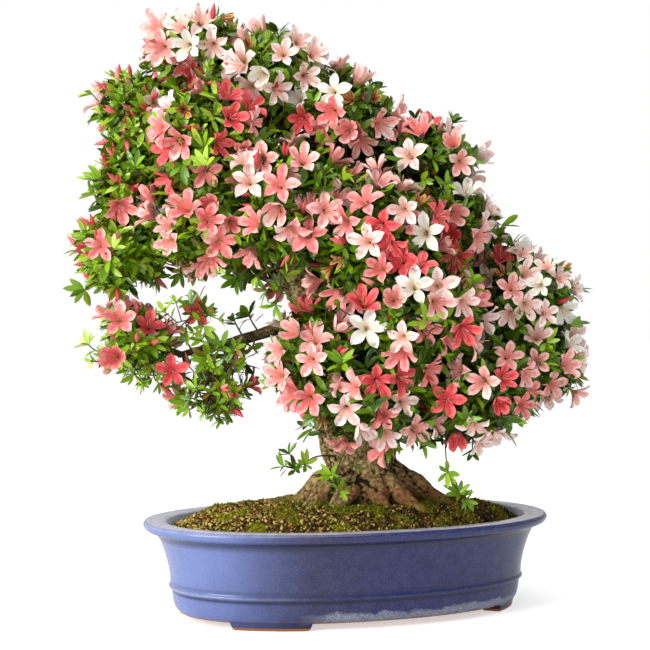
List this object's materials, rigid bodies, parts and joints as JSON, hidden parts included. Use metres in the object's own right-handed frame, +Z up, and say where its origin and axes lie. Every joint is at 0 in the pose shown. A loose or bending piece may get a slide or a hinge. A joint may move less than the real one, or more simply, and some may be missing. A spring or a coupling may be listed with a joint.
{
  "type": "azalea bonsai",
  "caption": "Flowering azalea bonsai with a leaning, root-flared trunk and a stepped crown of leaf and blossom, standing in an oval glazed pot",
  "frame": {"origin": "Under the middle of the whole plant and pot, on the level that the pot's feet stand on", "axes": "+Z up, +X to the right and -Y towards the viewer of the pictured front"},
  "size_m": [0.5735, 0.3216, 0.67],
  "materials": {
    "blue_glaze": "gloss",
    "mossy_soil": "matte",
    "bark": "matte",
    "foliage": "satin",
    "blossom": "satin"
  },
  "bodies": {
    "root": {"pot": "blue_glaze", "soil": "mossy_soil", "root_knob": "bark", "trunk": "bark", "bough_low_left": "bark", "bough_hanging": "bark", "bough_left": "bark", "bough_upper_left": "bark", "bough_top_left": "bark", "bough_top_right": "bark", "bough_shoulder": "bark", "bough_right_shoulder": "bark", "bough_right_upper": "bark", "bough_right": "bark", "bough_right_low": "bark", "bough_low_right": "bark", "bough_back_right": "bark", "bough_back_low_right": "bark", "bough_front_right": "bark", "bough_front_low": "bark", "bough_inner_left": "bark", "bough_back_upper": "bark", "crown_tip": "foliage", "crown_top_left": "foliage", "crown_top_right": "foliage", "crown_shoulder": "foliage", "crown_upper_front": "foliage", "crown_upper_left": "foliage", "crown_right_shoulder": "foliage", "crown_middle_front": "foliage", "crown_left": "foliage", "crown_inner_left": "foliage", "crown_right_front": "foliage", "crown_right_upper": "foliage", "crown_right": "foliage", "crown_right_low": "foliage", "crown_low_right": "foliage", "crown_low_centre": "foliage", "crown_low_front": "foliage", "crown_low_inner": "foliage", "crown_low_left": "foliage", "crown_hanging": "foliage", "back_upper": "foliage", "back_middle": "foliage", "back_right": "foliage", "back_low": "foliage", "back_low_right": "foliage", "shoot_left": "foliage"}
  },
  "joints": []
}
